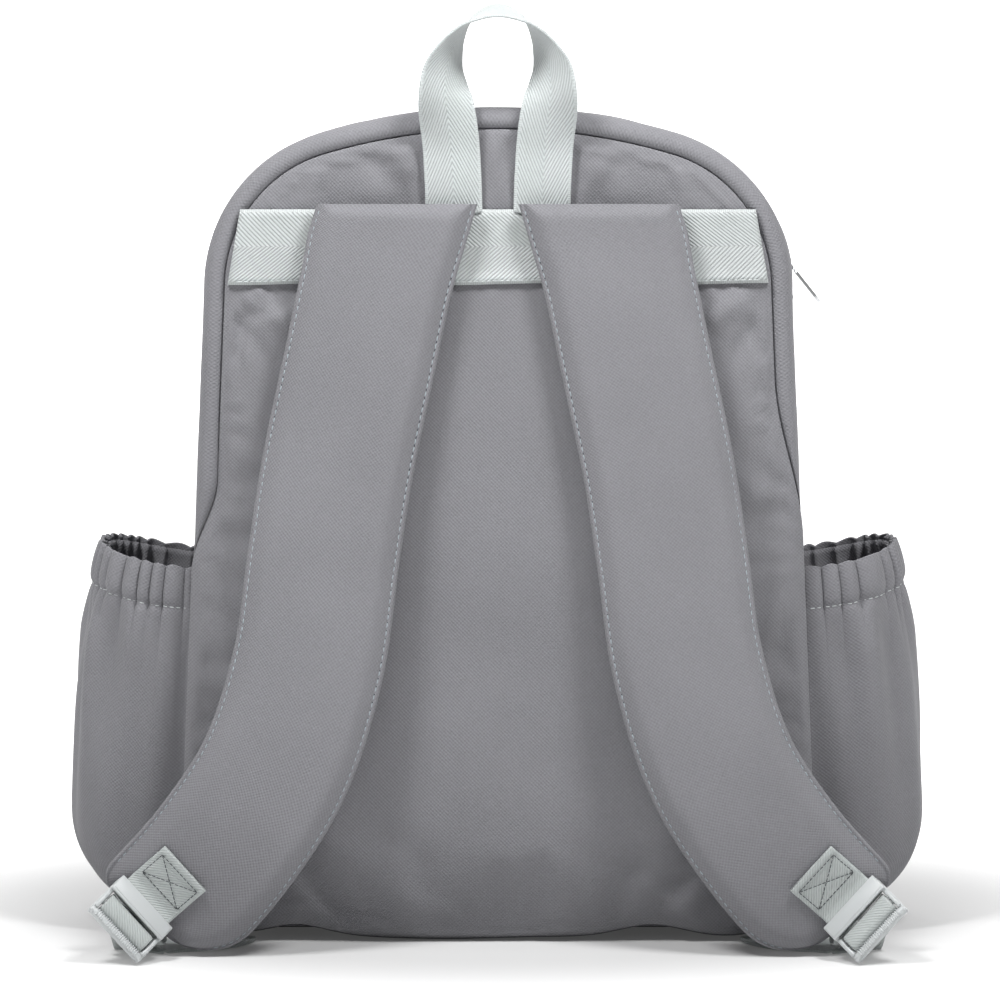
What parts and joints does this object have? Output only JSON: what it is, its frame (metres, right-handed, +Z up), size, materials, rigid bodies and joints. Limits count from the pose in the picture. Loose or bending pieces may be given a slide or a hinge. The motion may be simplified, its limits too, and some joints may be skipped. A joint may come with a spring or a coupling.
{
  "type": "racket backpack",
  "caption": "Soft backpack with padded shoulder straps, a webbing grab handle, gathered side pockets and a zipped racket pocket on the front.",
  "frame": {"origin": "on the floor, under the middle of the bag's box", "axes": "+Z up; -Y the harness side that lies on the wearer's back, +Y the front with the racket pocket; +X to the right seen from the harness side"},
  "size_m": [0.44, 0.2548, 0.4678],
  "materials": {
    "cloth": "mid-grey plain-weave canvas",
    "lining": "dark grey lining cloth",
    "strap_lining": "grey air-mesh",
    "foam": "closed-cell foam",
    "webbing": "pale grey herringbone webbing",
    "elastic": "woven elastic",
    "zip_tape": "woven polyester tape",
    "zip_coil": "satin nylon coil",
    "zip_metal": "satin plated zinc",
    "buckle_plastic": "pale grey translucent acetal",
    "board": "dark stiffener sheet"
  },
  "bodies": {
    "shell": {"back_panel_cover": "cloth", "back_panel_foam": "foam", "back_panel_lining": "lining", "top_gusset": "cloth", "side_gusset_left": "cloth", "side_gusset_right": "cloth", "base_panel": "cloth", "base_board": "board", "main_zip_tape_rear": "zip_tape", "main_zip_coil_rear": "zip_coil", "yoke_webbing": "webbing", "handle_end_left": "webbing", "handle_end_right": "webbing", "left_pocket": "cloth", "left_pocket_elastic": "elastic", "left_anchor_wing": "cloth", "left_anchor_web": "webbing", "right_pocket": "cloth", "right_pocket_elastic": "elastic", "right_anchor_wing": "cloth", "right_anchor_web": "webbing"},
    "main_flap": {"main_zip_coil_front": "zip_coil", "main_zip_tape_front": "zip_tape", "front_gusset": "cloth", "front_panel_cover": "cloth", "front_panel_foam": "foam", "racket_rear_gusset": "cloth", "racket_zip_tape_rear": "zip_tape", "racket_zip_coil_rear": "zip_coil", "racket_pocket_base": "cloth"},
    "racket_flap": {"racket_zip_coil_front": "zip_coil", "racket_zip_tape_front": "zip_tape", "racket_front_gusset": "cloth", "racket_panel": "cloth"},
    "handle": {"handle_loop": "webbing"},
    "main_lower_slider_body": {"main_lower_slider": "zip_metal"},
    "main_lower_pull_body": {"main_lower_pull": "zip_metal"},
    "main_upper_slider_body": {"main_upper_slider": "zip_metal"},
    "main_upper_pull_body": {"main_upper_pull": "zip_metal"},
    "racket_left_slider_body": {"racket_left_slider": "zip_metal"},
    "racket_left_pull_body": {"racket_left_pull": "zip_metal"},
    "racket_right_slider_body": {"racket_right_slider": "zip_metal"},
    "racket_right_pull_body": {"racket_right_pull": "zip_metal"},
    "left_strap": {"left_strap_lining": "strap_lining", "left_strap_foam": "foam", "left_strap_cover": "cloth", "left_strap_tab": "webbing"},
    "left_buckle_body": {"left_buckle": "buckle_plastic", "left_adjuster_web": "webbing"},
    "right_strap": {"right_strap_lining": "strap_lining", "right_strap_foam": "foam", "right_strap_cover": "cloth", "right_strap_tab": "webbing"},
    "right_buckle_body": {"right_buckle": "buckle_plastic", "right_adjuster_web": "webbing"}
  },
  "joints": [
    {"name": "main_flap_hinge", "type": "hinge", "parent": "shell", "child": "main_flap", "pos_m": [0, 0.09141, 0.0113], "axis": [-1, 0, 0], "range_deg": [0, 50]},
    {"name": "racket_flap_hinge", "type": "hinge", "parent": "main_flap", "child": "racket_flap", "pos_m": [0, 0.12741, 0.0493], "axis": [-1, 0, 0], "range_deg": [0, 40]},
    {"name": "handle_hinge", "type": "hinge", "parent": "shell", "child": "handle", "pos_m": [0, -0.06959, 0.405], "axis": [1, 0, 0], "range_deg": [-10, 90], "stiffness_Nm_per_rad": 0.05},
    {"name": "left_strap_hinge", "type": "hinge", "parent": "shell", "child": "left_strap", "pos_m": [-0.05, -0.07099, 0.3715], "axis": [-1, 0, 0], "range_deg": [0, 20]},
    {"name": "right_strap_hinge", "type": "hinge", "parent": "shell", "child": "right_strap", "pos_m": [0.05, -0.07099, 0.3715], "axis": [-1, 0, 0], "range_deg": [0, 20]},
    {"name": "left_buckle_hinge", "type": "hinge", "parent": "left_strap", "child": "left_buckle_body", "pos_m": [-0.177, -0.11185, 0.0252], "axis": [-0.6691, 0, 0.7431], "range_deg": [-35, 5]},
    {"name": "right_buckle_hinge", "type": "hinge", "parent": "right_strap", "child": "right_buckle_body", "pos_m": [0.177, -0.11185, 0.0252], "axis": [-0.6691, 0, -0.7431], "range_deg": [-35, 5]},
    {"name": "main_lower_slide", "type": "slide", "parent": "shell", "child": "main_lower_slider_body", "axis": [0.0436, 0, -0.999], "range_m": [0, 0.26]},
    {"name": "main_upper_run", "type": "hinge", "parent": "shell", "child": "main_upper_slider_body", "pos_m": [0.067, 0.064, 0.33], "axis": [0, -1, 0], "range_deg": [0, 66]},
    {"name": "racket_right_run", "type": "hinge", "parent": "main_flap", "child": "racket_right_slider_body", "pos_m": [0, 0.107, 0.255], "axis": [0, 1, 0], "range_deg": [0, 85]},
    {"name": "racket_left_run", "type": "hinge", "parent": "main_flap", "child": "racket_left_slider_body", "pos_m": [0, 0.107, 0.255], "axis": [0, -1, 0], "range_deg": [0, 85]},
    {"name": "main_lower_pull_hinge", "type": "hinge", "parent": "main_lower_slider_body", "child": "main_lower_pull_body", "pos_m": [0.15388, 0.06316, 0.32078], "axis": [0, -1, 0], "range_deg": [-8, 65]},
    {"name": "main_upper_pull_hinge", "type": "hinge", "parent": "main_upper_slider_body", "child": "main_upper_pull_body", "pos_m": [0.1528, 0.06316, 0.34012], "axis": [0, -1, 0], "range_deg": [0, 60]},
    {"name": "racket_right_pull_hinge", "type": "hinge", "parent": "racket_right_slider_body", "child": "racket_right_pull_body", "pos_m": [0.00607, 0.10616, 0.39627], "axis": [0, -1, 0], "range_deg": [-4, 90]},
    {"name": "racket_left_pull_hinge", "type": "hinge", "parent": "racket_left_slider_body", "child": "racket_left_pull_body", "pos_m": [-0.00607, 0.10616, 0.39627], "axis": [0, -1, 0], "range_deg": [-90, 4]}
  ]
}
